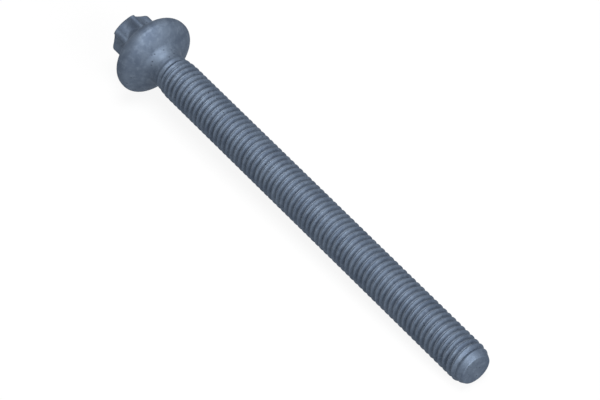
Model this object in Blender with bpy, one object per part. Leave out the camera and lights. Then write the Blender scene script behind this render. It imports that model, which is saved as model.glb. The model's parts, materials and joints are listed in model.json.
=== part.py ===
"""Flange screw M8 x 1.25 with an external six-lobe drive, forged in one piece and lying at rest.

The screw is modelled about its own axis, which is local Z and points to the tip. Local Z = 0 is the plane where
the flange's cylindrical rim ends and its domed seat begins. The finished screw is then laid on its side, on the
rim of the flange and the last full crest of the thread, with the lowest middle point of its box at the origin.
"""

import math

import bmesh
import bpy
from mathutils import Matrix, Vector

MM = 0.001

# Thread, a right-hand metric coarse thread that runs to just below the flange
THREAD_DIAMETER = 7.9 * MM
THREAD_PITCH = 1.25 * MM
THREAD_DEPTH_PER_PITCH = 0.6134
PITCH_LINE_DEPTH_PER_PITCH = 0.3248
CREST_WIDTH_PER_PITCH = 0.125
CLOCKING_TURNS = 0.21
RUNOUT_LENGTH = 4.2 * MM

# Shank
SHANK_LENGTH = 94.15 * MM
NECK_LENGTH = 0.1 * MM
NECK_FILLET_RADIUS = 2.15 * MM
POINT_LENGTH = 2.6 * MM
POINT_RADIUS = 3.8 * MM
POINT_EDGE_RADIUS = 0.35 * MM
POINT_RUNOUT_LENGTH = 2.6 * MM

# Flange, with a domed seat below and a cone above
FLANGE_DIAMETER = 16.0 * MM
RIM_HEIGHT = 1.4 * MM
RIM_TOP_RADIUS = 1.95 * MM
SEAT_EDGE_RADIUS = 1.3 * MM
SEAT_EDGE_SLOPE = math.radians(35)
TOP_CONE_SLOPE = math.radians(28)

# External six-lobe drive, whose valleys run out into the flange
LOBES = 6
DRIVE_DIAMETER = 8.85 * MM
VALLEY_DIAMETER = 6.4 * MM
LOBE_RADIUS = 0.68 * MM
HEAD_HEIGHT = 8.3 * MM
END_FACE_DIAMETER = 5.9 * MM
END_CHAMFER_SLOPE = math.radians(32)
VALLEY_RUNOUT = 2.4 * MM
LOBE_CLOCKING = math.radians(-4.1)

# Facets
THREAD_FACETS = 18
FLANGE_FACETS_PER_THREAD_FACET = 3
ARC_STEP = math.radians(13)
LOBE_ARC_FACETS = 4
VALLEY_ARC_FACETS = 5
RUNOUT_RINGS = 4
SHARP_EDGE = math.radians(35)

# How far one shape is sunk into another, and how close a thread row comes to an end ring before it joins it
CONE_CORE_SHARE = 0.8
DRIVE_ROOT_SHARE = 0.5
SNAP_DISTANCE = 0.02 * MM

COAT_COLOUR = (0.114, 0.147, 0.195, 1.0)
COAT_ROUGHNESS = 0.55
COAT_METALLIC = 0.5


def clear_scene():
    for thing in list(bpy.data.objects):
        bpy.data.objects.remove(thing)


def coat_material():
    """The matte blue-grey zinc-flake coat."""
    material = bpy.data.materials.new("zinc_flake_coat")
    material.use_nodes = True
    shader = material.node_tree.nodes["Principled BSDF"]
    shader.inputs["Base Color"].default_value = COAT_COLOUR
    shader.inputs["Roughness"].default_value = COAT_ROUGHNESS
    shader.inputs["Metallic"].default_value = COAT_METALLIC
    return material


def arc(centre, radius, start, end):
    """Points (radius, height) along an arc, from one angle to the other, both ends included."""
    steps = max(2, round(abs(end - start) / ARC_STEP))
    points = []
    for step in range(steps + 1):
        angle = start + (end - start) * step / steps
        points.append((centre[0] + radius * math.cos(angle), centre[1] + radius * math.sin(angle)))
    return points


def neck_radius():
    """The rolled blank's radius, which is the thread's pitch radius."""
    return THREAD_DIAMETER / 2 - PITCH_LINE_DEPTH_PER_PITCH * THREAD_PITCH


def seat_sphere():
    """Radius and centre height of the dome that meets the seat's edge rounding at its slope."""
    edge_centre = FLANGE_DIAMETER / 2 - SEAT_EDGE_RADIUS
    radius = edge_centre / math.sin(SEAT_EDGE_SLOPE) + SEAT_EDGE_RADIUS
    centre_height = -edge_centre / math.tan(SEAT_EDGE_SLOPE)
    return radius, centre_height


def neck_fillet():
    """Centre of the hollow fillet that is tangent to the dome and to the neck."""
    sphere_radius, sphere_height = seat_sphere()
    centre_radius = neck_radius() + NECK_FILLET_RADIUS
    reach = sphere_radius + NECK_FILLET_RADIUS
    return centre_radius, sphere_height + math.sqrt(reach**2 - centre_radius**2)


def cone_height(radius):
    """Height of the flange's top cone at a radius."""
    return -RIM_HEIGHT - (FLANGE_DIAMETER / 2 - radius) * math.tan(TOP_CONE_SLOPE)


def flange_profile():
    """The turned outline, from the middle of the top cone round the rim and over the seat to the neck."""
    rim_radius = FLANGE_DIAMETER / 2
    cone_normal = TOP_CONE_SLOPE - math.pi / 2
    rounding_reach = RIM_TOP_RADIUS * math.tan(-cone_normal / 2)
    core_radius = CONE_CORE_SHARE * VALLEY_DIAMETER / 2
    rim_top = arc(
        (rim_radius - RIM_TOP_RADIUS, rounding_reach - RIM_HEIGHT), RIM_TOP_RADIUS, cone_normal, 0.0
    )
    seat_normal = math.pi / 2 - SEAT_EDGE_SLOPE
    seat_edge = arc((rim_radius - SEAT_EDGE_RADIUS, 0.0), SEAT_EDGE_RADIUS, 0.0, seat_normal)
    sphere_radius, sphere_height = seat_sphere()
    fillet_centre = neck_fillet()
    fillet_normal = math.atan2(fillet_centre[1] - sphere_height, fillet_centre[0])
    dome = arc((0.0, sphere_height), sphere_radius, seat_normal, fillet_normal)
    fillet = arc(fillet_centre, NECK_FILLET_RADIUS, fillet_normal + math.pi, math.pi)
    return [(core_radius, cone_height(core_radius))] + rim_top + seat_edge + dome[1:] + fillet[1:]


def ring_of_vertices(mesh, radius, height, facets):
    """A ring whose flat side, not a vertex, is at angle zero."""
    ring = []
    for index in range(facets):
        angle = (index + 0.5) * math.tau / facets
        ring.append(mesh.verts.new((radius * math.cos(angle), radius * math.sin(angle), height)))
    return ring


def add_flange(mesh):
    """The revolved flange. Returns its last ring, at the top of the neck."""
    facets = THREAD_FACETS * FLANGE_FACETS_PER_THREAD_FACET
    rings = [ring_of_vertices(mesh, radius, height, facets) for radius, height in flange_profile()]
    mesh.faces.new(list(reversed(rings[0])))
    for lower, upper in zip(rings, rings[1:]):
        for index in range(facets):
            following = (index + 1) % facets
            mesh.faces.new((lower[index], lower[following], upper[following], upper[index]))
    return rings[-1]


def thread_column_angle(column):
    """The thread too has a flat side at angle zero, so the screw lies on a flat there as well as at the flange."""
    return (column + 0.5) * math.tau / THREAD_FACETS


def point_radius(height):
    """The rounded point's radius, an arc that starts tangent to the crests."""
    into_point = max(0.0, height - (SHANK_LENGTH - POINT_LENGTH))
    return THREAD_DIAMETER / 2 - (POINT_RADIUS - math.sqrt(POINT_RADIUS**2 - into_point**2))


def eased(share):
    """A share from 0 to 1 that leaves and arrives level."""
    share = min(1.0, max(0.0, share))
    return share * share * (3.0 - 2.0 * share)


def thread_radius(depth, height, start, end):
    """Radius at a depth below the crest. The groove fades out on the point, and the whole thread at the neck."""
    radius = point_radius(height) - depth * eased((end - height) / POINT_RUNOUT_LENGTH)
    return neck_radius() + (radius - neck_radius()) * eased((height - start) / RUNOUT_LENGTH)


def add_thread(mesh, start, end):
    """One helical sheet from the neck to the point. Returns its first and its last ring.

    The sheet has three rows for each turn: the two edges of the crest and the root between two crests. A row
    climbs one pitch in a turn, so its end meets the row three places further on. Rows that would pass the
    neck or the point end in that plane's own ring.
    """
    root_place = (1.0 + CREST_WIDTH_PER_PITCH) / 2
    turn = [(0.0, 0.0), (CREST_WIDTH_PER_PITCH, 0.0), (root_place, THREAD_DEPTH_PER_PITCH * THREAD_PITCH)]
    angles = [thread_column_angle(column) for column in range(THREAD_FACETS)]

    def vertex_at(angle, radius, height):
        return mesh.verts.new((radius * math.cos(angle), radius * math.sin(angle), height))

    first_ring = [vertex_at(angle, neck_radius(), start) for angle in angles]
    last_ring = [vertex_at(angle, point_radius(end), end) for angle in angles]

    turns = math.ceil((end - start) / THREAD_PITCH) + 2
    rows = []
    for turn_number in range(-2, turns):
        for place, depth in turn:
            row = []
            for column, angle in enumerate(angles):
                turned = turn_number + place + column / THREAD_FACETS + CLOCKING_TURNS
                height = start + THREAD_PITCH * turned
                if height < start + SNAP_DISTANCE:
                    row.append(first_ring[column])
                elif height > end - SNAP_DISTANCE:
                    row.append(last_ring[column])
                else:
                    row.append(vertex_at(angle, thread_radius(depth, height, start, end), height))
            rows.append(row)

    for lower in range(len(rows) - len(turn) - 1):
        for column in range(THREAD_FACETS):
            corners = []
            for row, step in ((lower, 0), (lower, 1), (lower + 1, 1), (lower + 1, 0)):
                following = column + step
                if following == THREAD_FACETS:
                    corner = rows[row + len(turn)][0]
                else:
                    corner = rows[row][following]
                if corner not in corners:
                    corners.append(corner)
            if len(corners) >= 3:
                mesh.faces.new(corners)
    return first_ring, last_ring


def close_point(mesh, ring):
    """The small rounding round the end face, and the end face itself."""
    edge_radius = point_radius(SHANK_LENGTH - POINT_EDGE_RADIUS)
    centre = (edge_radius - POINT_EDGE_RADIUS, SHANK_LENGTH - POINT_EDGE_RADIUS)
    for radius, height in arc(centre, POINT_EDGE_RADIUS, 0.0, math.pi / 2)[1:]:
        next_ring = []
        for column in range(THREAD_FACETS):
            angle = thread_column_angle(column)
            next_ring.append(mesh.verts.new((radius * math.cos(angle), radius * math.sin(angle), height)))
        for column in range(THREAD_FACETS):
            following = (column + 1) % THREAD_FACETS
            mesh.faces.new((ring[column], ring[following], next_ring[following], next_ring[column]))
        ring = next_ring
    mesh.faces.new(ring)


def join_rings(mesh, fine, coarse):
    """A band of triangles from the flange's fine ring to the thread's coarse one."""
    per_column = FLANGE_FACETS_PER_THREAD_FACET
    first_corner = per_column // 2
    for column, corner in enumerate(coarse):
        following = coarse[(column + 1) % len(coarse)]
        start = column * per_column + first_corner
        group = [fine[(start + step) % len(fine)] for step in range(per_column + 1)]
        middle = (per_column + 1) // 2
        for step in range(per_column):
            apex = corner if step < middle else following
            mesh.faces.new((group[step], group[step + 1], apex))
        mesh.faces.new((group[middle], following, corner))


def new_object(name, mesh, material):
    bmesh.ops.recalc_face_normals(mesh, faces=mesh.faces)
    data = bpy.data.meshes.new(name)
    mesh.to_mesh(data)
    mesh.free()
    data.materials.append(material)
    data.shade_smooth()
    data.set_sharp_from_angle(angle=SHARP_EDGE)
    thing = bpy.data.objects.new(name, data)
    bpy.context.collection.objects.link(thing)
    return thing


def make_screw_body(material):
    mesh = bmesh.new()
    neck_ring = add_flange(mesh)
    thread_start = neck_fillet()[1] + NECK_LENGTH
    thread_ring, end_ring = add_thread(mesh, thread_start, SHANK_LENGTH - POINT_EDGE_RADIUS)
    join_rings(mesh, neck_ring, thread_ring)
    close_point(mesh, end_ring)
    return new_object("six_lobe_flange_screw", mesh, material)


def lobed_outline():
    """Points (angle, radius) round the drive: rounded lobes, and hollow valleys tangent to them."""
    lobe_centre = DRIVE_DIAMETER / 2 - LOBE_RADIUS
    valley_floor = VALLEY_DIAMETER / 2
    half_pitch = math.pi / LOBES
    along = lobe_centre * math.cos(half_pitch)
    valley_radius = (LOBE_RADIUS**2 - lobe_centre**2 - valley_floor**2 + 2 * along * valley_floor) / (
        2 * (valley_floor - along - LOBE_RADIUS)
    )
    valley_centre = valley_floor + valley_radius
    valley_point = Vector((valley_centre * math.cos(half_pitch), valley_centre * math.sin(half_pitch)))
    lobe_point = Vector((lobe_centre, 0.0))
    towards_valley = valley_point - lobe_point
    lobe_end = math.atan2(towards_valley.y, towards_valley.x)
    valley_start = lobe_end + math.pi
    valley_sweep = 2 * (half_pitch + math.pi - valley_start)
    corner = []
    for step in range(-LOBE_ARC_FACETS, LOBE_ARC_FACETS + 1, 2):
        angle = lobe_end * step / LOBE_ARC_FACETS
        corner.append(lobe_point + LOBE_RADIUS * Vector((math.cos(angle), math.sin(angle))))
    for step in range(1, VALLEY_ARC_FACETS):
        angle = valley_start + valley_sweep * step / VALLEY_ARC_FACETS
        corner.append(valley_point + valley_radius * Vector((math.cos(angle), math.sin(angle))))
    outline = []
    for lobe in range(LOBES):
        turned = LOBE_CLOCKING + math.pi + lobe * math.tau / LOBES
        for point in corner:
            outline.append((math.atan2(point.y, point.x) + turned, point.length))
    return outline


def drive_levels(outline):
    """Rings (height, radii) of the drive, from its root inside the flange to its end face."""
    lobe_radius = DRIVE_DIAMETER / 2
    end_radius = END_FACE_DIAMETER / 2
    runout_start = cone_height(lobe_radius)
    levels = [([-DRIVE_ROOT_SHARE * RIM_HEIGHT] * len(outline), [lobe_radius] * len(outline))]
    for ring in range(RUNOUT_RINGS + 1):
        share = ring / RUNOUT_RINGS
        filled = (1.0 - share) ** 2
        height = runout_start - VALLEY_RUNOUT * share
        levels.append(
            ([height] * len(outline), [radius + (lobe_radius - radius) * filled for _, radius in outline])
        )
    shoulder = []
    for _, radius in outline:
        shoulder.append(max(0.0, radius - end_radius) * math.tan(END_CHAMFER_SLOPE) - HEAD_HEIGHT)
    levels.append((shoulder, [radius for _, radius in outline]))
    levels.append(([-HEAD_HEIGHT] * len(outline), [end_radius] * len(outline)))
    return levels


def make_drive(material):
    """The lobed prism with its chamfered end, rooted inside the flange."""
    mesh = bmesh.new()
    outline = lobed_outline()
    rings = []
    for heights, radii in drive_levels(outline):
        ring = []
        for (angle, _), radius, height in zip(outline, radii, heights):
            ring.append(mesh.verts.new((radius * math.cos(angle), radius * math.sin(angle), height)))
        rings.append(ring)
    for upper, lower in zip(rings, rings[1:]):
        for index in range(len(outline)):
            following = (index + 1) % len(outline)
            mesh.faces.new((lower[index], lower[following], upper[following], upper[index]))
    mesh.faces.new(list(reversed(rings[-1])))
    mesh.faces.new(rings[0])
    drive = new_object("drive_blank", mesh, material)
    drive.hide_render = True
    drive.display_type = "WIRE"
    return drive


def join_drive(screw, drive):
    union = screw.modifiers.new("drive", "BOOLEAN")
    union.operation = "UNION"
    union.solver = "EXACT"
    union.object = drive


def lying_matrix():
    """Local Z to world X, tipped until the rim and the last full crest touch the ground, local X down."""
    flange_reach = FLANGE_DIAMETER / 2 * math.cos(math.pi / (THREAD_FACETS * FLANGE_FACETS_PER_THREAD_FACET))
    thread_reach = THREAD_DIAMETER / 2 * math.cos(math.pi / THREAD_FACETS)
    tilt = math.atan2(flange_reach - thread_reach, SHANK_LENGTH - POINT_LENGTH)
    towards_tip = Vector((math.cos(tilt), 0.0, -math.sin(tilt)))
    downwards = Vector((-math.sin(tilt), 0.0, -math.cos(tilt)))
    sideways = towards_tip.cross(downwards)
    return Matrix((downwards, sideways, towards_tip)).transposed().to_4x4()


def lay_down(things):
    """Turns the pieces onto their side and brings the lowest middle point of their box to the origin."""
    turned = lying_matrix()
    points = [turned @ vertex.co for thing in things for vertex in thing.data.vertices]
    low = [min(point[axis] for point in points) for axis in range(3)]
    high = [max(point[axis] for point in points) for axis in range(3)]
    shift = Vector((-(low[0] + high[0]) / 2, -(low[1] + high[1]) / 2, -low[2]))
    for thing in things:
        thing.matrix_world = Matrix.Translation(shift) @ turned


def main():
    clear_scene()
    coat = coat_material()
    screw = make_screw_body(coat)
    drive = make_drive(coat)
    join_drive(screw, drive)
    lay_down([screw, drive])


main()
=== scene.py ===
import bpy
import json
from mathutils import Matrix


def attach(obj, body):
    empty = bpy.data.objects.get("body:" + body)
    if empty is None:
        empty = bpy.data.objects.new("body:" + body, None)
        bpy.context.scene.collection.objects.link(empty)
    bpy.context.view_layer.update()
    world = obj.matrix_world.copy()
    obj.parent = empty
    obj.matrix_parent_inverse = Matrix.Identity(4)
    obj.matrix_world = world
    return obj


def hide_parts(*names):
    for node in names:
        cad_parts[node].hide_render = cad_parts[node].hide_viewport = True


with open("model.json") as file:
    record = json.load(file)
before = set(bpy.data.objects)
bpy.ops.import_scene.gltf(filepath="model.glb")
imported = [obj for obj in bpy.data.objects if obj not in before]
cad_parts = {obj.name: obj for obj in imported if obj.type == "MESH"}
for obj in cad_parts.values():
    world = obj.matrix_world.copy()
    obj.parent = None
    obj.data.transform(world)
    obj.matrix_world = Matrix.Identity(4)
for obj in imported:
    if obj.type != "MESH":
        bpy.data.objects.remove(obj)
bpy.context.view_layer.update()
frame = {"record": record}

import json
import math

import bmesh
import bpy
import numpy as np
from bpy.props import FloatProperty, FloatVectorProperty, IntProperty, PointerProperty
from mathutils import Matrix, Vector

bl_info = {
    "name": "Six-lobe flange screw",
    "version": (1, 0, 0),
    "blender": (4, 5, 0),
    "location": "View3D > Sidebar > Screw",
    "description": "Models and lights a coated flange screw with an external six-lobe drive",
    "category": "Add Mesh",
}

MM = 0.001
NODE = "six_lobe_flange_screw"
BODY = "root"

# Shares of the pitch that a metric thread profile is drawn with
THREAD_DEPTH = 0.6134
PITCH_LINE_DEPTH = 0.3248
CREST_MIDDLE = 0.0625

# One flank from root to crest, as (place from the crest's middle in pitches, share of the full depth)
TOOTH_FLANK = ((0.50, 1.0), (0.43, 0.96), (0.35, 0.81), (0.10, 0.10), (0.05, 0.0))

# Extra turns of thread, and how many of them come before its start. They are pressed flat into its end rings.
SPARE_TURNS = 4
TURNS_BEFORE_START = 2

# Where the CAD thread starts, as a share of a turn from the screw's lowest line
FIRST_COLUMN_TURN = 10 / 360

LOBES = 6

# Steps of the arcs that the turned shape and the point are drawn with
RIM_TOP_STEPS = 12
SEAT_EDGE_STEPS = 14
SEAT_STEPS = 16
FILLET_STEPS = 16
POINT_EDGE_STEPS = 4

# Rings of the head over its end chamfer, along the drive and over the cone, both ends of each included
CHAMFER_RINGS = 14
DRIVE_RINGS = 26
CONE_RINGS = 10

# How far the close rings reach past the chamfer and into the cone, and the least distance between two rings
CHAMFER_MARGIN = 0.2 * MM
CONE_MARGIN = 0.5 * MM
LEAST_RING_GAP = 0.01 * MM

# How far a point may lie from a ring's height and still count as part of the ring
RING_TOLERANCE = 0.02 * MM

# Points of the thread closer than this become one
MERGE_DISTANCE = 0.002 * MM

# Thread edges shorter than this are dissolved, and head points this close to the end face's height stay in it
LEAST_EDGE = 0.001 * MM

# Edges sharper than this stay sharp in the shading
SHARP_EDGE_ANGLE = math.radians(38)

# The tooth height that the head is given, which is too high for the painted light in the groove bottoms
UNTINTED_TOOTH_HEIGHT = 0.5

# Scales of the coat's textures, per metre
PATCH_SCALE = 320.0
BLOTCH_SCALE = 1050.0
GRAIN_SCALE = 4200.0
PIT_SCALE = 1000.0

# Places of the colour sockets on Blender's Mix node, which also holds sockets for numbers and vectors
MIX_COLOUR_A = 6
MIX_COLOUR_B = 7
MIX_COLOUR_RESULT = 2

# Share of plain white that the camera sees on the floor; the rest keeps the shadow
FLOOR_WHITE_SHARE = 0.9

LAMP_DISTANCE = 0.9

# The photograph's frame and where the screw's middle point lies in it, from the centre, right and up
PHOTO_WIDTH_PX = 600
MIDDLE_RIGHT_PX = 34.33
MIDDLE_UP_PX = -31.64


class ScrewSizes(bpy.types.PropertyGroup):
    """The sizes of the screw, measured along and across its own axis."""

    thread_diameter: FloatProperty(
        name="Thread diameter",
        description="Outer diameter over the crests of the thread",
        default=7.86 * MM,
        unit="LENGTH",
        subtype="DISTANCE",
    )
    thread_pitch: FloatProperty(
        name="Thread pitch",
        description="Distance between two crests",
        default=1.25 * MM,
        unit="LENGTH",
        subtype="DISTANCE",
    )
    shank_length: FloatProperty(
        name="Shank length",
        description="From the flange's widest plane to the end of the point",
        default=94.15 * MM,
        unit="LENGTH",
        subtype="DISTANCE",
    )
    neck_length: FloatProperty(
        name="Neck length",
        description="Plain length between the fillet under the flange and the thread",
        default=0.1 * MM,
        unit="LENGTH",
        subtype="DISTANCE",
    )
    runout_length: FloatProperty(
        name="Thread run-out",
        description="Length over which the thread rises out of the neck",
        default=4.2 * MM,
        unit="LENGTH",
        subtype="DISTANCE",
    )
    neck_fillet: FloatProperty(
        name="Neck fillet",
        description="Radius of the hollow between the seat and the neck",
        default=2.15 * MM,
        unit="LENGTH",
        subtype="DISTANCE",
    )
    thread_clocking: FloatProperty(
        name="Thread clocking",
        description="Turn of the whole thread about the screw's axis, in turns",
        default=0.21,
    )
    point_length: FloatProperty(
        name="Point length",
        description="Length of the rounded point",
        default=2.6 * MM,
        unit="LENGTH",
        subtype="DISTANCE",
    )
    point_radius: FloatProperty(
        name="Point radius",
        description="Radius of the arc that draws the point in",
        default=3.8 * MM,
        unit="LENGTH",
        subtype="DISTANCE",
    )
    point_edge_radius: FloatProperty(
        name="Point edge radius",
        description="Small rounding round the end face",
        default=0.35 * MM,
        unit="LENGTH",
        subtype="DISTANCE",
    )
    point_runout: FloatProperty(
        name="Point run-out",
        description="Length over which the groove fades out towards the end of the point",
        default=2.6 * MM,
        unit="LENGTH",
        subtype="DISTANCE",
    )
    flange_diameter: FloatProperty(
        name="Flange diameter",
        description="Across the rim of the flange",
        default=16.0 * MM,
        unit="LENGTH",
        subtype="DISTANCE",
    )
    rim_height: FloatProperty(
        name="Rim height",
        description="From the widest plane to where the top cone would meet the rim",
        default=1.4 * MM,
        unit="LENGTH",
        subtype="DISTANCE",
    )
    rim_top_radius: FloatProperty(
        name="Rim top radius",
        description="Rounding of the rim towards the drive",
        default=1.95 * MM,
        unit="LENGTH",
        subtype="DISTANCE",
    )
    seat_edge_radius: FloatProperty(
        name="Seat edge radius",
        description="Rounding of the rim towards the domed seat",
        default=1.3 * MM,
        unit="LENGTH",
        subtype="DISTANCE",
    )
    seat_edge_slope: FloatProperty(
        name="Seat slope",
        description="Slope of the domed seat where it meets its edge rounding",
        default=math.radians(35),
        unit="ROTATION",
        subtype="ANGLE",
    )
    top_cone_slope: FloatProperty(
        name="Top cone slope",
        description="Slope of the flange's top towards the drive",
        default=math.radians(28),
        unit="ROTATION",
        subtype="ANGLE",
    )
    drive_diameter: FloatProperty(
        name="Drive diameter",
        description="Across the lobes of the drive",
        default=8.85 * MM,
        unit="LENGTH",
        subtype="DISTANCE",
    )
    valley_diameter: FloatProperty(
        name="Valley diameter",
        description="Across the bottoms of the valleys between the lobes",
        default=6.4 * MM,
        unit="LENGTH",
        subtype="DISTANCE",
    )
    lobe_radius: FloatProperty(
        name="Lobe radius",
        description="Rounding of each lobe",
        default=0.68 * MM,
        unit="LENGTH",
        subtype="DISTANCE",
    )
    head_height: FloatProperty(
        name="Head height",
        description="From the flange's widest plane to the end face of the drive",
        default=8.3 * MM,
        unit="LENGTH",
        subtype="DISTANCE",
    )
    end_face_diameter: FloatProperty(
        name="End face diameter",
        description="Across the flat end of the drive, before its edge is rounded",
        default=5.9 * MM,
        unit="LENGTH",
        subtype="DISTANCE",
    )
    end_chamfer_slope: FloatProperty(
        name="End chamfer slope",
        description="Slope of the turned chamfer at the end of the drive",
        default=math.radians(32),
        unit="ROTATION",
        subtype="ANGLE",
    )
    valley_runout: FloatProperty(
        name="Valley run-out",
        description="Length over which a valley's coned end rises to the flange",
        default=1.96 * MM,
        unit="LENGTH",
        subtype="DISTANCE",
    )
    valley_end_slope: FloatProperty(
        name="Valley end slope",
        description="Slope of a valley's coned end to the screw's axis",
        default=math.radians(35.5),
        unit="ROTATION",
        subtype="ANGLE",
    )
    lobe_clocking: FloatProperty(
        name="Lobe clocking",
        description="Angle of the lobes about the screw's axis",
        default=math.radians(-4.1),
        unit="ROTATION",
        subtype="ANGLE",
    )
    forged_rounding: FloatProperty(
        name="Forged rounding",
        description="Softness of the drive's edges and of its joint with the flange",
        default=0.22 * MM,
        unit="LENGTH",
        subtype="DISTANCE",
    )
    thread_columns: IntProperty(
        name="Thread steps",
        description="Facets of the thread in one turn",
        default=96,
        min=24,
    )
    head_columns: IntProperty(
        name="Head steps",
        description="Facets of the head in one turn",
        default=192,
        min=48,
    )


class CoatColours(bpy.types.PropertyGroup):
    """The colours of the zinc-flake coat."""

    coat: FloatVectorProperty(
        name="Coat",
        description="Main blue-grey of the coat",
        default=(0.112, 0.142, 0.189, 1.0),
        size=4,
        subtype="COLOR",
    )
    coat_dark: FloatVectorProperty(
        name="Darker patches",
        description="Where the coat lies thin or dull",
        default=(0.080, 0.104, 0.146, 1.0),
        size=4,
        subtype="COLOR",
    )
    coat_pale: FloatVectorProperty(
        name="Paler blotches",
        description="Where the coat lies thicker",
        default=(0.156, 0.194, 0.250, 1.0),
        size=4,
        subtype="COLOR",
    )
    pit: FloatVectorProperty(
        name="Pits",
        description="Tiny dark specks in the coat",
        default=(0.030, 0.038, 0.052, 1.0),
        size=4,
        subtype="COLOR",
    )
    # Painted light: a paler colour for the groove bottoms that lifts the shade in the thread's roots
    painted_groove_light: FloatVectorProperty(
        name="Painted groove light",
        description="Painted light that lifts the shade in the bottoms of the grooves",
        default=(0.245, 0.290, 0.350, 1.0),
        size=4,
        subtype="COLOR",
    )


class StageSizes(bpy.types.PropertyGroup):
    """The camera and the floor."""

    camera_azimuth: FloatProperty(
        name="Camera azimuth",
        description="Turn of the camera round the screw; 0 looks along +Y",
        default=math.radians(52.19),
        unit="ROTATION",
        subtype="ANGLE",
    )
    camera_elevation: FloatProperty(
        name="Camera elevation",
        description="Height of the camera above the horizon",
        default=math.radians(45.97),
        unit="ROTATION",
        subtype="ANGLE",
    )
    camera_distance: FloatProperty(
        name="Camera distance",
        description="From the camera to the plane of the screw's middle point",
        default=750.0 * MM,
        unit="LENGTH",
        subtype="DISTANCE",
    )
    focal_length: FloatProperty(
        name="Focal length",
        description="Lens in millimetres for a 36 mm sensor",
        default=251.76,
    )
    middle_place: FloatProperty(
        name="Middle point",
        description="Place of the aimed point along the axis, from the flange's widest plane",
        default=54.18 * MM,
        unit="LENGTH",
        subtype="DISTANCE",
    )
    floor_size: FloatProperty(
        name="Floor size",
        description="Side of the square floor",
        default=4.0,
        unit="LENGTH",
        subtype="DISTANCE",
    )


def smooth_least(first, second, softness):
    """The smaller of two arrays, rounded where they cross."""
    blend = np.clip(0.5 + 0.5 * (second - first) / softness, 0.0, 1.0)
    return second * (1 - blend) + first * blend - softness * blend * (1 - blend)


def smooth_most(first, second, softness):
    """The larger of two arrays, rounded where they cross."""
    return -smooth_least(-first, -second, softness)


def eased(share):
    """A share from 0 to 1 that starts and ends gently."""
    share = np.clip(share, 0.0, 1.0)
    return share * share * (3.0 - 2.0 * share)


def arc_points(centre, radius, start, end, steps):
    """Points along an arc from one angle to another."""
    angles = np.linspace(start, end, steps + 1)
    return [(centre[0] + radius * math.cos(a), centre[1] + radius * math.sin(a)) for a in angles]


def neck_radius(sizes):
    """The rolled blank's radius, which is the thread's pitch radius."""
    return sizes.thread_diameter / 2 - PITCH_LINE_DEPTH * sizes.thread_pitch


def seat_sphere(sizes):
    """Radius and centre height of the domed seat."""
    edge_centre = sizes.flange_diameter / 2 - sizes.seat_edge_radius
    radius = edge_centre / math.sin(sizes.seat_edge_slope) + sizes.seat_edge_radius
    return radius, -edge_centre / math.tan(sizes.seat_edge_slope)


def fillet_centre(sizes):
    """Centre of the hollow fillet that is tangent to the seat and to the neck."""
    sphere_radius, sphere_height = seat_sphere(sizes)
    across = neck_radius(sizes) + sizes.neck_fillet
    reach = sphere_radius + sizes.neck_fillet
    return across, sphere_height + math.sqrt(reach**2 - across**2)


def thread_start(sizes):
    """Height at which the thread begins to rise out of the neck."""
    return fillet_centre(sizes)[1] + sizes.neck_length


def point_radius(sizes, height):
    """Crest radius: the thread's own, and then the arc that draws the point in."""
    into_point = np.maximum(height - (sizes.shank_length - sizes.point_length), 0.0)
    drop = sizes.point_radius - np.sqrt(sizes.point_radius**2 - into_point**2)
    return sizes.thread_diameter / 2 - drop


def cone_height(sizes, radius):
    """Height of the flange's top cone at a radius."""
    rise = (sizes.flange_diameter / 2 - radius) * math.tan(sizes.top_cone_slope)
    return -sizes.rim_height - rise


def turned_profile(sizes):
    """Points (radius, height) of the turned shape, from the top cone's tip inside the drive to the neck."""
    rim_radius = sizes.flange_diameter / 2
    cone_normal = sizes.top_cone_slope - math.pi / 2
    reach = sizes.rim_top_radius * math.tan(-cone_normal / 2)
    rim_centre = (rim_radius - sizes.rim_top_radius, reach - sizes.rim_height)
    seat_normal = math.pi / 2 - sizes.seat_edge_slope
    sphere_radius, sphere_height = seat_sphere(sizes)
    hollow = fillet_centre(sizes)
    hollow_normal = math.atan2(hollow[1] - sphere_height, hollow[0])
    edge_radius = sizes.seat_edge_radius
    edge_centre = (rim_radius - edge_radius, 0.0)
    points = [(0.0, cone_height(sizes, 0.0))]
    points += arc_points(rim_centre, sizes.rim_top_radius, cone_normal, 0.0, RIM_TOP_STEPS)
    points += arc_points(edge_centre, edge_radius, 0.0, seat_normal, SEAT_EDGE_STEPS)
    points += arc_points((0.0, sphere_height), sphere_radius, seat_normal, hollow_normal, SEAT_STEPS)[1:]
    points += arc_points(hollow, sizes.neck_fillet, hollow_normal + math.pi, math.pi, FILLET_STEPS)[1:]
    return points


def lobed_radius(sizes, angle):
    """Radius of the drive's outline at an angle: rounded lobes and hollow valleys tangent to them."""
    lobe_centre = sizes.drive_diameter / 2 - sizes.lobe_radius
    floor = sizes.valley_diameter / 2
    half = math.pi / LOBES
    along = lobe_centre * math.cos(half)
    valley_radius = (sizes.lobe_radius**2 - lobe_centre**2 - floor**2 + 2 * along * floor) / (
        2 * (floor - along - sizes.lobe_radius)
    )
    valley_centre = floor + valley_radius
    from_lobe = np.abs((angle - sizes.lobe_clocking - math.pi + half) % (2 * half) - half)
    from_valley = half - from_lobe
    lobe_side = lobe_centre * np.sin(from_lobe)
    lobe = lobe_centre * np.cos(from_lobe) + np.sqrt(np.maximum(sizes.lobe_radius**2 - lobe_side**2, 0.0))
    valley_side = valley_centre * np.sin(from_valley)
    valley = valley_centre * np.cos(from_valley) - np.sqrt(np.maximum(valley_radius**2 - valley_side**2, 0.0))
    touch_across = valley_centre * math.cos(half) - lobe_centre
    touch_up = valley_centre * math.sin(half)
    share = sizes.lobe_radius / math.hypot(touch_across, touch_up)
    touch = math.atan2(touch_up * share, lobe_centre + touch_across * share)
    return np.where(from_lobe < touch, lobe, valley)


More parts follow.
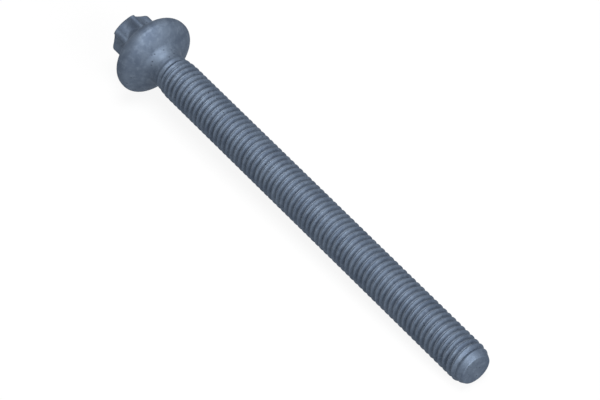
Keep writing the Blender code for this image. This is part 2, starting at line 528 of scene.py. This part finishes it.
def head_radius(sizes, angle, height, profile):
    """Radius of the whole head at an angle and a height."""
    radii, heights = (np.array(column) for column in zip(*profile))
    turned = np.interp(height, heights, radii)
    outline = lobed_radius(sizes, angle)
    lobe_top = sizes.drive_diameter / 2
    end_start = cone_height(sizes, lobe_top) - sizes.valley_runout
    valley_end = sizes.valley_diameter / 2 + (height - end_start) * math.tan(sizes.valley_end_slope)
    drive = smooth_most(outline, np.minimum(valley_end, lobe_top), sizes.forged_rounding)
    drive = np.minimum(drive, lobe_top)
    end_radius = sizes.end_face_diameter / 2
    chamfer = end_radius + (height + sizes.head_height) / math.tan(sizes.end_chamfer_slope)
    drive = smooth_least(drive, chamfer, sizes.forged_rounding)
    below_flange = height < -sizes.rim_height / 2
    return np.where(below_flange, smooth_most(turned, drive, sizes.forged_rounding * 2), turned)


def head_heights(sizes, profile):
    """Where the rings of the head lie, close together where the shape turns."""
    chamfer_width = sizes.drive_diameter / 2 - sizes.end_face_diameter / 2
    shoulder = -sizes.head_height + chamfer_width * math.tan(sizes.end_chamfer_slope)
    chamfer_end = shoulder + CHAMFER_MARGIN
    cone_start = cone_height(sizes, sizes.drive_diameter / 2) + CONE_MARGIN
    rim_start = profile[1][1]
    heights = list(np.linspace(-sizes.head_height, chamfer_end, CHAMFER_RINGS)[1:])
    heights += list(np.linspace(chamfer_end, cone_start, DRIVE_RINGS)[1:])
    heights += list(np.linspace(cone_start, rim_start, CONE_RINGS)[1:])
    heights += [height for _, height in profile[2:]]
    kept = [heights[0]]
    for height in heights[1:]:
        if height - kept[-1] > LEAST_RING_GAP:
            kept.append(height)
    return kept


def angles_and_radii(thing):
    """The points of a mesh, and the angle and the distance of each about the Z axis."""
    places = np.zeros(len(thing.data.vertices) * 3)
    thing.data.vertices.foreach_get("co", places)
    places = places.reshape(-1, 3)
    return places, np.arctan2(places[:, 1], places[:, 0]), np.hypot(places[:, 0], places[:, 1])


def write_radii(thing, places, angles, radii):
    """Moves a mesh's points to the heights in places and to given angles and distances about the Z axis."""
    places[:, 0] = radii * np.cos(angles)
    places[:, 1] = radii * np.sin(angles)
    thing.data.vertices.foreach_set("co", places.ravel())
    thing.data.update()


class SCREW_OT_forge_head(bpy.types.Operator):
    """Forge the drive, the flange and the neck as one turned and lobed shell"""

    bl_idname = "flange_screw.forge_head"
    bl_label = "Forge head"

    def execute(self, context):
        sizes = context.scene.screw_sizes
        profile = turned_profile(sizes)
        bpy.ops.object.select_all(action="DESELECT")
        bpy.ops.mesh.primitive_circle_add(
            vertices=sizes.head_columns,
            radius=sizes.end_face_diameter / 2 - sizes.forged_rounding / 4,
            fill_type="NGON",
            location=(0.0, 0.0, -sizes.head_height),
        )
        head = context.active_object
        head.name = "head"
        bpy.ops.object.transform_apply(location=True, rotation=False, scale=False)
        bpy.ops.object.mode_set(mode="EDIT")
        level = -sizes.head_height
        for height in head_heights(sizes, profile):
            bpy.ops.mesh.extrude_region_move(
                TRANSFORM_OT_translate={"value": (0.0, 0.0, height - level)}
            )
            level = height
        bpy.ops.mesh.delete(type="ONLY_FACE")
        bpy.ops.object.mode_set(mode="OBJECT")
        places, angles, radii = angles_and_radii(head)
        shaped = places[:, 2] > -sizes.head_height + LEAST_EDGE
        wanted = head_radius(sizes, angles, places[:, 2], profile)
        write_radii(head, places, angles, np.where(shaped, wanted, radii))
        return {"FINISHED"}


class SCREW_OT_roll_thread(bpy.types.Operator):
    """Roll the helical thread from the neck to the rounded point"""

    bl_idname = "flange_screw.roll_thread"
    bl_label = "Roll thread"

    def execute(self, context):
        sizes = context.scene.screw_sizes
        pitch = sizes.thread_pitch
        depth = THREAD_DEPTH * pitch
        crest = sizes.thread_diameter / 2
        start = thread_start(sizes)
        end = sizes.shank_length - sizes.point_edge_radius
        tooth = [(-place, share) for place, share in TOOTH_FLANK] + [(0.0, 0.0)]
        tooth += [(place, share) for place, share in reversed(TOOTH_FLANK)]
        bpy.ops.object.select_all(action="DESELECT")
        bpy.ops.mesh.primitive_plane_add(size=pitch, location=(0.0, 0.0, 0.0))
        thread = context.active_object
        thread.name = "thread"
        bpy.ops.object.mode_set(mode="EDIT")
        bpy.ops.mesh.merge(type="CENTER")
        bpy.ops.object.mode_set(mode="OBJECT")
        first_turn = sizes.thread_clocking + CREST_MIDDLE - FIRST_COLUMN_TURN - TURNS_BEFORE_START
        first_crest = start + first_turn * pitch
        thread.data.vertices[0].co = (crest - tooth[0][1] * depth, 0.0, first_crest + tooth[0][0] * pitch)
        bpy.ops.object.mode_set(mode="EDIT")
        bpy.ops.mesh.select_all(action="SELECT")
        for before, after in zip(tooth, tooth[1:]):
            step = ((before[1] - after[1]) * depth, 0.0, (after[0] - before[0]) * pitch)
            bpy.ops.mesh.extrude_region_move(TRANSFORM_OT_translate={"value": step})
        bpy.ops.object.mode_set(mode="OBJECT")
        turns = math.ceil((end - start) / pitch) + SPARE_TURNS
        helix = thread.modifiers.new("helix", "SCREW")
        helix.axis = "Z"
        helix.screw_offset = pitch
        helix.iterations = turns
        helix.steps = sizes.thread_columns
        helix.render_steps = sizes.thread_columns
        helix.use_merge_vertices = False
        helix.use_smooth_shade = True
        bpy.ops.object.modifier_apply(modifier=helix.name)

        places, angles, radii = angles_and_radii(thread)
        below_crest = crest - radii
        height = np.clip(places[:, 2], start, end)
        out_of_neck = eased((height - start) / sizes.runout_length)
        before_point = eased((end - height) / sizes.point_runout)
        shaped = point_radius(sizes, height) - below_crest * before_point
        neck = neck_radius(sizes)
        shaped = neck + (shaped - neck) * out_of_neck
        column = np.round(angles / math.tau * sizes.thread_columns) * math.tau / sizes.thread_columns
        places[:, 2] = height
        write_radii(thread, places, column, shaped)
        tooth_height = thread.data.attributes.new("tooth_height", "FLOAT", "POINT")
        groove_share = below_crest / depth * out_of_neck * before_point
        tooth_height.data.foreach_set("value", (1.0 - groove_share).astype(np.float32))
        bpy.ops.object.mode_set(mode="EDIT")
        bpy.ops.mesh.select_all(action="SELECT")
        bpy.ops.mesh.remove_doubles(threshold=MERGE_DISTANCE)
        bpy.ops.mesh.dissolve_degenerate(threshold=LEAST_EDGE)
        bpy.ops.object.mode_set(mode="OBJECT")
        return {"FINISHED"}


def open_rings(mesh, height):
    """Boundary edges of a mesh that lie in the plane of a height."""
    return [
        edge
        for edge in mesh.edges
        if edge.is_boundary and all(abs(end.co.z - height) < RING_TOLERANCE for end in edge.verts)
    ]


class SCREW_OT_finish_screw(bpy.types.Operator):
    """Join the head and the thread into one closed screw, coat it and lay it where the CAD model lies"""

    bl_idname = "flange_screw.finish_screw"
    bl_label = "Finish screw"

    def execute(self, context):
        sizes = context.scene.screw_sizes
        head = bpy.data.objects["head"]
        thread = bpy.data.objects["thread"]
        neutral = head.data.attributes.new("tooth_height", "FLOAT", "POINT")
        untinted = np.full(len(head.data.vertices), UNTINTED_TOOTH_HEIGHT, np.float32)
        neutral.data.foreach_set("value", untinted)
        bpy.ops.object.select_all(action="DESELECT")
        head.select_set(True)
        thread.select_set(True)
        context.view_layer.objects.active = thread
        bpy.ops.object.join()
        screw = context.active_object
        screw.name = "flange_screw"
        screw.data.name = "flange_screw"

        bpy.ops.object.mode_set(mode="EDIT")
        bpy.ops.mesh.select_all(action="DESELECT")
        bpy.ops.mesh.select_mode(type="EDGE")
        mesh = bmesh.from_edit_mesh(screw.data)
        neck_end = turned_profile(sizes)[-1][1]
        for edge in open_rings(mesh, neck_end) + open_rings(mesh, thread_start(sizes)):
            edge.select = True
        bmesh.update_edit_mesh(screw.data)
        bpy.ops.mesh.bridge_edge_loops()
        self.select_ring(screw, -sizes.head_height)
        bpy.ops.mesh.edge_face_add()
        self.select_ring(screw, sizes.shank_length - sizes.point_edge_radius)
        self.round_point(sizes)
        bpy.ops.mesh.select_mode(type="VERT")
        bpy.ops.mesh.select_all(action="SELECT")
        bpy.ops.mesh.normals_make_consistent(inside=False)
        bpy.ops.object.mode_set(mode="OBJECT")
        gaps = sum(1 for uses in self.edge_uses(screw) if uses != 2)
        if gaps:
            raise RuntimeError(f"the screw is not closed: {gaps} edges do not join two faces")

        bpy.ops.object.shade_smooth_by_angle(angle=SHARP_EDGE_ANGLE)
        screw.data.transform(lying_matrix(sizes))
        screw.data.update()
        screw.data.materials.clear()
        screw.data.materials.append(coat_material(context.scene.screw_colours))
        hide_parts(NODE)
        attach(screw, BODY)
        return {"FINISHED"}

    def select_ring(self, thing, height):
        """Selects only the open ring of edges at a height."""
        bpy.ops.mesh.select_all(action="DESELECT")
        mesh = bmesh.from_edit_mesh(thing.data)
        for edge in open_rings(mesh, height):
            edge.select = True
        bmesh.update_edit_mesh(thing.data)

    def round_point(self, sizes):
        """Extrudes the selected ring over the small rounding of the point and closes the end face."""
        edge = sizes.point_edge_radius
        outer = float(point_radius(sizes, np.float64(sizes.shank_length - edge)))
        level, radius = 0.0, outer
        for step in range(1, POINT_EDGE_STEPS + 1):
            angle = math.pi / 2 * step / POINT_EDGE_STEPS
            next_level = edge * math.sin(angle)
            next_radius = outer - edge * (1 - math.cos(angle))
            bpy.ops.mesh.extrude_region_move(
                TRANSFORM_OT_translate={"value": (0.0, 0.0, next_level - level)}
            )
            share = next_radius / radius
            bpy.ops.transform.resize(value=(share, share, 1.0), center_override=(0.0, 0.0, 0.0))
            level, radius = next_level, next_radius
        bpy.ops.mesh.edge_face_add()

    def edge_uses(self, thing):
        """How many faces use each edge."""
        mesh = bmesh.new()
        mesh.from_mesh(thing.data)
        uses = [len(edge.link_faces) for edge in mesh.edges]
        mesh.free()
        return uses


def screw_axis():
    """The middle of the drive's end face and the direction to the tip, from the record's two mounts."""
    mounts = {mount["name"]: mount for mount in frame["record"]["mounts"]}
    head_end = Vector(mounts["drive_end_face"]["pos_m"])
    tip_end = Vector(mounts["tip_end_face"]["pos_m"])
    return head_end, (tip_end - head_end).normalized()


def lying_matrix(sizes):
    """Lays the screw's own Z along the CAD model's axis, with its X downwards as there."""
    head_end, towards_tip = screw_axis()
    sideways = Vector((0.0, -1.0, 0.0))
    downwards = sideways.cross(towards_tip)
    if downwards.z > 0.0:
        sideways.negate()
        downwards.negate()
    turned = Matrix((downwards, sideways, towards_tip)).transposed().to_4x4()
    return Matrix.Translation(head_end + towards_tip * sizes.head_height) @ turned


def mix_colours(tree, factor, first, second):
    """A colour mix of two colours or sockets by a factor socket."""
    mix = tree.nodes.new("ShaderNodeMix")
    mix.data_type = "RGBA"
    tree.links.new(factor, mix.inputs["Factor"])
    for place, value in ((MIX_COLOUR_A, first), (MIX_COLOUR_B, second)):
        if isinstance(value, bpy.types.NodeSocket):
            tree.links.new(value, mix.inputs[place])
        else:
            mix.inputs[place].default_value = value
    return mix.outputs[MIX_COLOUR_RESULT]


def ramp(tree, source, low, high, top=1.0):
    """Stretches a value from low..high to 0..top."""
    node = tree.nodes.new("ShaderNodeMapRange")
    node.inputs["From Min"].default_value = low
    node.inputs["From Max"].default_value = high
    node.inputs["To Max"].default_value = top
    tree.links.new(source, node.inputs["Value"])
    return node.outputs["Result"]


def combine(tree, operation, first, second):
    """One number from two sockets, such as their product or the larger of them."""
    node = tree.nodes.new("ShaderNodeMath")
    node.operation = operation
    tree.links.new(first, node.inputs[0])
    tree.links.new(second, node.inputs[1])
    return node.outputs[0]


def coat_material(colours):
    """Matte zinc-flake coat with dull patches, tiny pits and groove bottoms painted paler, as painted light
    that lifts their shade.
    """
    material = bpy.data.materials.new("zinc_flake_coat")
    material.use_nodes = True
    tree = material.node_tree
    shader = tree.nodes["Principled BSDF"]
    shader.inputs["Metallic"].default_value = 0.90
    shader.inputs["Specular IOR Level"].default_value = 0.25
    shader.inputs["Specular Tint"].default_value = (0.50, 0.50, 0.50, 1.0)
    place = tree.nodes.new("ShaderNodeTexCoord").outputs["Object"]

    def noise(scale, detail, roughness=0.5):
        """A noise texture over the coat."""
        node = tree.nodes.new("ShaderNodeTexNoise")
        node.inputs["Scale"].default_value = scale
        node.inputs["Detail"].default_value = detail
        node.inputs["Roughness"].default_value = roughness
        tree.links.new(place, node.inputs["Vector"])
        return node.outputs["Fac"]

    patches = noise(PATCH_SCALE, detail=4.0, roughness=0.6)
    blotches = noise(BLOTCH_SCALE, detail=3.0, roughness=0.6)
    grain = noise(GRAIN_SCALE, detail=2.0)
    cells = tree.nodes.new("ShaderNodeTexVoronoi")
    cells.inputs["Scale"].default_value = PIT_SCALE
    tree.links.new(place, cells.inputs["Vector"])
    tooth = tree.nodes.new("ShaderNodeAttribute")
    tooth.attribute_name = "tooth_height"

    even_coat = ramp(tree, patches, low=0.35, high=0.65)
    colour = mix_colours(tree, even_coat, tuple(colours.coat_dark), tuple(colours.coat))
    pale = ramp(tree, blotches, low=0.48, high=0.68, top=0.45)
    colour = mix_colours(tree, pale, colour, tuple(colours.coat_pale))
    # Painted light: the groove bottoms are painted paler, lifting the shade in the thread's roots
    groove = ramp(tree, tooth.outputs["Fac"], low=0.35, high=0.0, top=0.55)
    colour = mix_colours(tree, groove, colour, tuple(colours.painted_groove_light))
    cell_middles = ramp(tree, cells.outputs["Distance"], low=0.20, high=0.08)
    pitted_patches = ramp(tree, patches, low=0.48, high=0.60, top=0.8)
    pits = combine(tree, "MULTIPLY", cell_middles, pitted_patches)
    colour = mix_colours(tree, pits, colour, tuple(colours.pit))
    tree.links.new(colour, shader.inputs["Base Color"])

    rough = tree.nodes.new("ShaderNodeMapRange")
    rough.inputs["To Min"].default_value = 0.54
    rough.inputs["To Max"].default_value = 0.66
    tree.links.new(grain, rough.inputs["Value"])
    tree.links.new(rough.outputs["Result"], shader.inputs["Roughness"])

    uneven = tree.nodes.new("ShaderNodeBump")
    uneven.inputs["Strength"].default_value = 0.45
    uneven.inputs["Distance"].default_value = 0.06 * MM
    tree.links.new(blotches, uneven.inputs["Height"])
    fine = tree.nodes.new("ShaderNodeBump")
    fine.inputs["Strength"].default_value = 0.35
    fine.inputs["Distance"].default_value = 0.03 * MM
    tree.links.new(grain, fine.inputs["Height"])
    tree.links.new(uneven.outputs["Normal"], fine.inputs["Normal"])
    tree.links.new(fine.outputs["Normal"], shader.inputs["Normal"])
    return material


def white_to_camera(tree, lit, share):
    """Mixes a share of plain white into a lit shader, for camera, glossy and transmission rays alone."""
    path = tree.nodes.new("ShaderNodeLightPath")
    seen = path.outputs["Is Camera Ray"]
    for ray in ("Is Glossy Ray", "Is Transmission Ray"):
        seen = combine(tree, "MAXIMUM", seen, path.outputs[ray])
    whitened = ramp(tree, seen, low=0.0, high=1.0, top=share)
    white = tree.nodes.new("ShaderNodeEmission")
    mix = tree.nodes.new("ShaderNodeMixShader")
    tree.links.new(whitened, mix.inputs[0])
    tree.links.new(lit, mix.inputs[1])
    tree.links.new(white.outputs[0], mix.inputs[2])
    return mix.outputs[0]


def add_soft_light(name, towards, size, power):
    """A square lamp on the side that a direction names, aimed at the screw."""
    data = bpy.data.lights.new(name, "AREA")
    data.size = size
    data.energy = power
    lamp = bpy.data.objects.new(name, data)
    bpy.context.scene.collection.objects.link(lamp)
    direction = Vector(towards).normalized()
    lamp.location = direction * LAMP_DISTANCE
    lamp.rotation_euler = direction.to_track_quat("Z", "Y").to_euler()


class SCREW_OT_set_stage(bpy.types.Operator):
    """Set the pale floor, the soft lights, the white surroundings and the camera"""

    bl_idname = "flange_screw.set_stage"
    bl_label = "Set stage"

    def execute(self, context):
        stage = context.scene.screw_stage
        self.add_floor(stage)
        self.add_world(context.scene)
        add_soft_light("tip_side_lamp", towards=(0.90, 0.00, 0.44), size=0.60, power=9.0)
        add_soft_light("overhead_lamp", towards=(0.03, 0.00, 1.00), size=0.50, power=8.0)
        self.add_camera(context.scene, stage)
        return {"FINISHED"}

    def add_floor(self, stage):
        """A pale floor that the camera sees as near white, so that only the shadow shows."""
        bpy.ops.object.select_all(action="DESELECT")
        bpy.ops.mesh.primitive_plane_add(size=stage.floor_size, location=(0.0, 0.0, 0.0))
        floor = bpy.context.active_object
        floor.name = "floor"
        material = bpy.data.materials.new("pale_floor")
        material.use_nodes = True
        tree = material.node_tree
        shader = tree.nodes["Principled BSDF"]
        shader.inputs["Base Color"].default_value = (0.80, 0.80, 0.80, 1.0)
        shader.inputs["Roughness"].default_value = 0.9
        shown = white_to_camera(tree, shader.outputs[0], FLOOR_WHITE_SHARE)
        tree.links.new(shown, tree.nodes["Material Output"].inputs["Surface"])
        floor.data.materials.append(material)

    def add_world(self, scene):
        """A faint even light, which camera, glossy and transmission rays see as plain white."""
        world = bpy.data.worlds.new("white_room")
        scene.world = world
        world.use_nodes = True
        tree = world.node_tree
        light = tree.nodes["Background"]
        light.inputs["Color"].default_value = (1.0, 1.0, 1.0, 1.0)
        light.inputs["Strength"].default_value = 0.12
        shown = white_to_camera(tree, light.outputs[0], share=1.0)
        tree.links.new(shown, tree.nodes["World Output"].inputs["Surface"])

    def add_camera(self, scene, stage):
        """The photograph's camera, with the screw's middle point where the photograph has it."""
        across = math.cos(stage.camera_elevation)
        turn = stage.camera_azimuth
        back = Vector((math.sin(turn) * across, -math.cos(turn) * across, math.sin(stage.camera_elevation)))
        right = Vector((math.cos(turn), math.sin(turn), 0.0))
        up = back.cross(right)
        head_end, towards_tip = screw_axis()
        middle = head_end + towards_tip * (scene.screw_sizes.head_height + stage.middle_place)
        data = bpy.data.cameras.new("photo_camera")
        data.lens = stage.focal_length
        data.clip_end = 10.0
        focal_px = stage.focal_length / data.sensor_width * PHOTO_WIDTH_PX
        pixel = stage.camera_distance / focal_px
        camera = bpy.data.objects.new("photo_camera", data)
        scene.collection.objects.link(camera)
        beside = right * MIDDLE_RIGHT_PX * pixel + up * MIDDLE_UP_PX * pixel
        place = middle + back * stage.camera_distance - beside
        camera.matrix_world = Matrix.Translation(place) @ Matrix((right, up, back)).transposed().to_4x4()
        scene.camera = camera
        scene.view_settings.view_transform = "Standard"


class SCREW_PT_panel(bpy.types.Panel):
    """Buttons and sizes for the screw"""

    bl_idname = "SCREW_PT_panel"
    bl_label = "Six-lobe flange screw"
    bl_space_type = "VIEW_3D"
    bl_region_type = "UI"
    bl_category = "Screw"

    def draw(self, context):
        layout = self.layout
        for group in (context.scene.screw_sizes, context.scene.screw_colours, context.scene.screw_stage):
            box = layout.box()
            for name in group.bl_rna.properties.keys():
                if name not in ("rna_type", "name"):
                    box.prop(group, name)
        for operator in OPERATORS:
            layout.operator(operator.bl_idname)


GROUPS = (ScrewSizes, CoatColours, StageSizes)
OPERATORS = (SCREW_OT_forge_head, SCREW_OT_roll_thread, SCREW_OT_finish_screw, SCREW_OT_set_stage)


def register():
    for kind in (*GROUPS, *OPERATORS, SCREW_PT_panel):
        bpy.utils.register_class(kind)
    bpy.types.Scene.screw_sizes = PointerProperty(type=ScrewSizes)
    bpy.types.Scene.screw_colours = PointerProperty(type=CoatColours)
    bpy.types.Scene.screw_stage = PointerProperty(type=StageSizes)


def unregister():
    del bpy.types.Scene.screw_stage
    del bpy.types.Scene.screw_colours
    del bpy.types.Scene.screw_sizes
    for kind in reversed((*GROUPS, *OPERATORS, SCREW_PT_panel)):
        bpy.utils.unregister_class(kind)


def main():
    register()
    bpy.ops.flange_screw.forge_head()
    bpy.ops.flange_screw.roll_thread()
    bpy.ops.flange_screw.finish_screw()
    bpy.ops.flange_screw.set_stage()


if __name__ == "__main__":
    main()
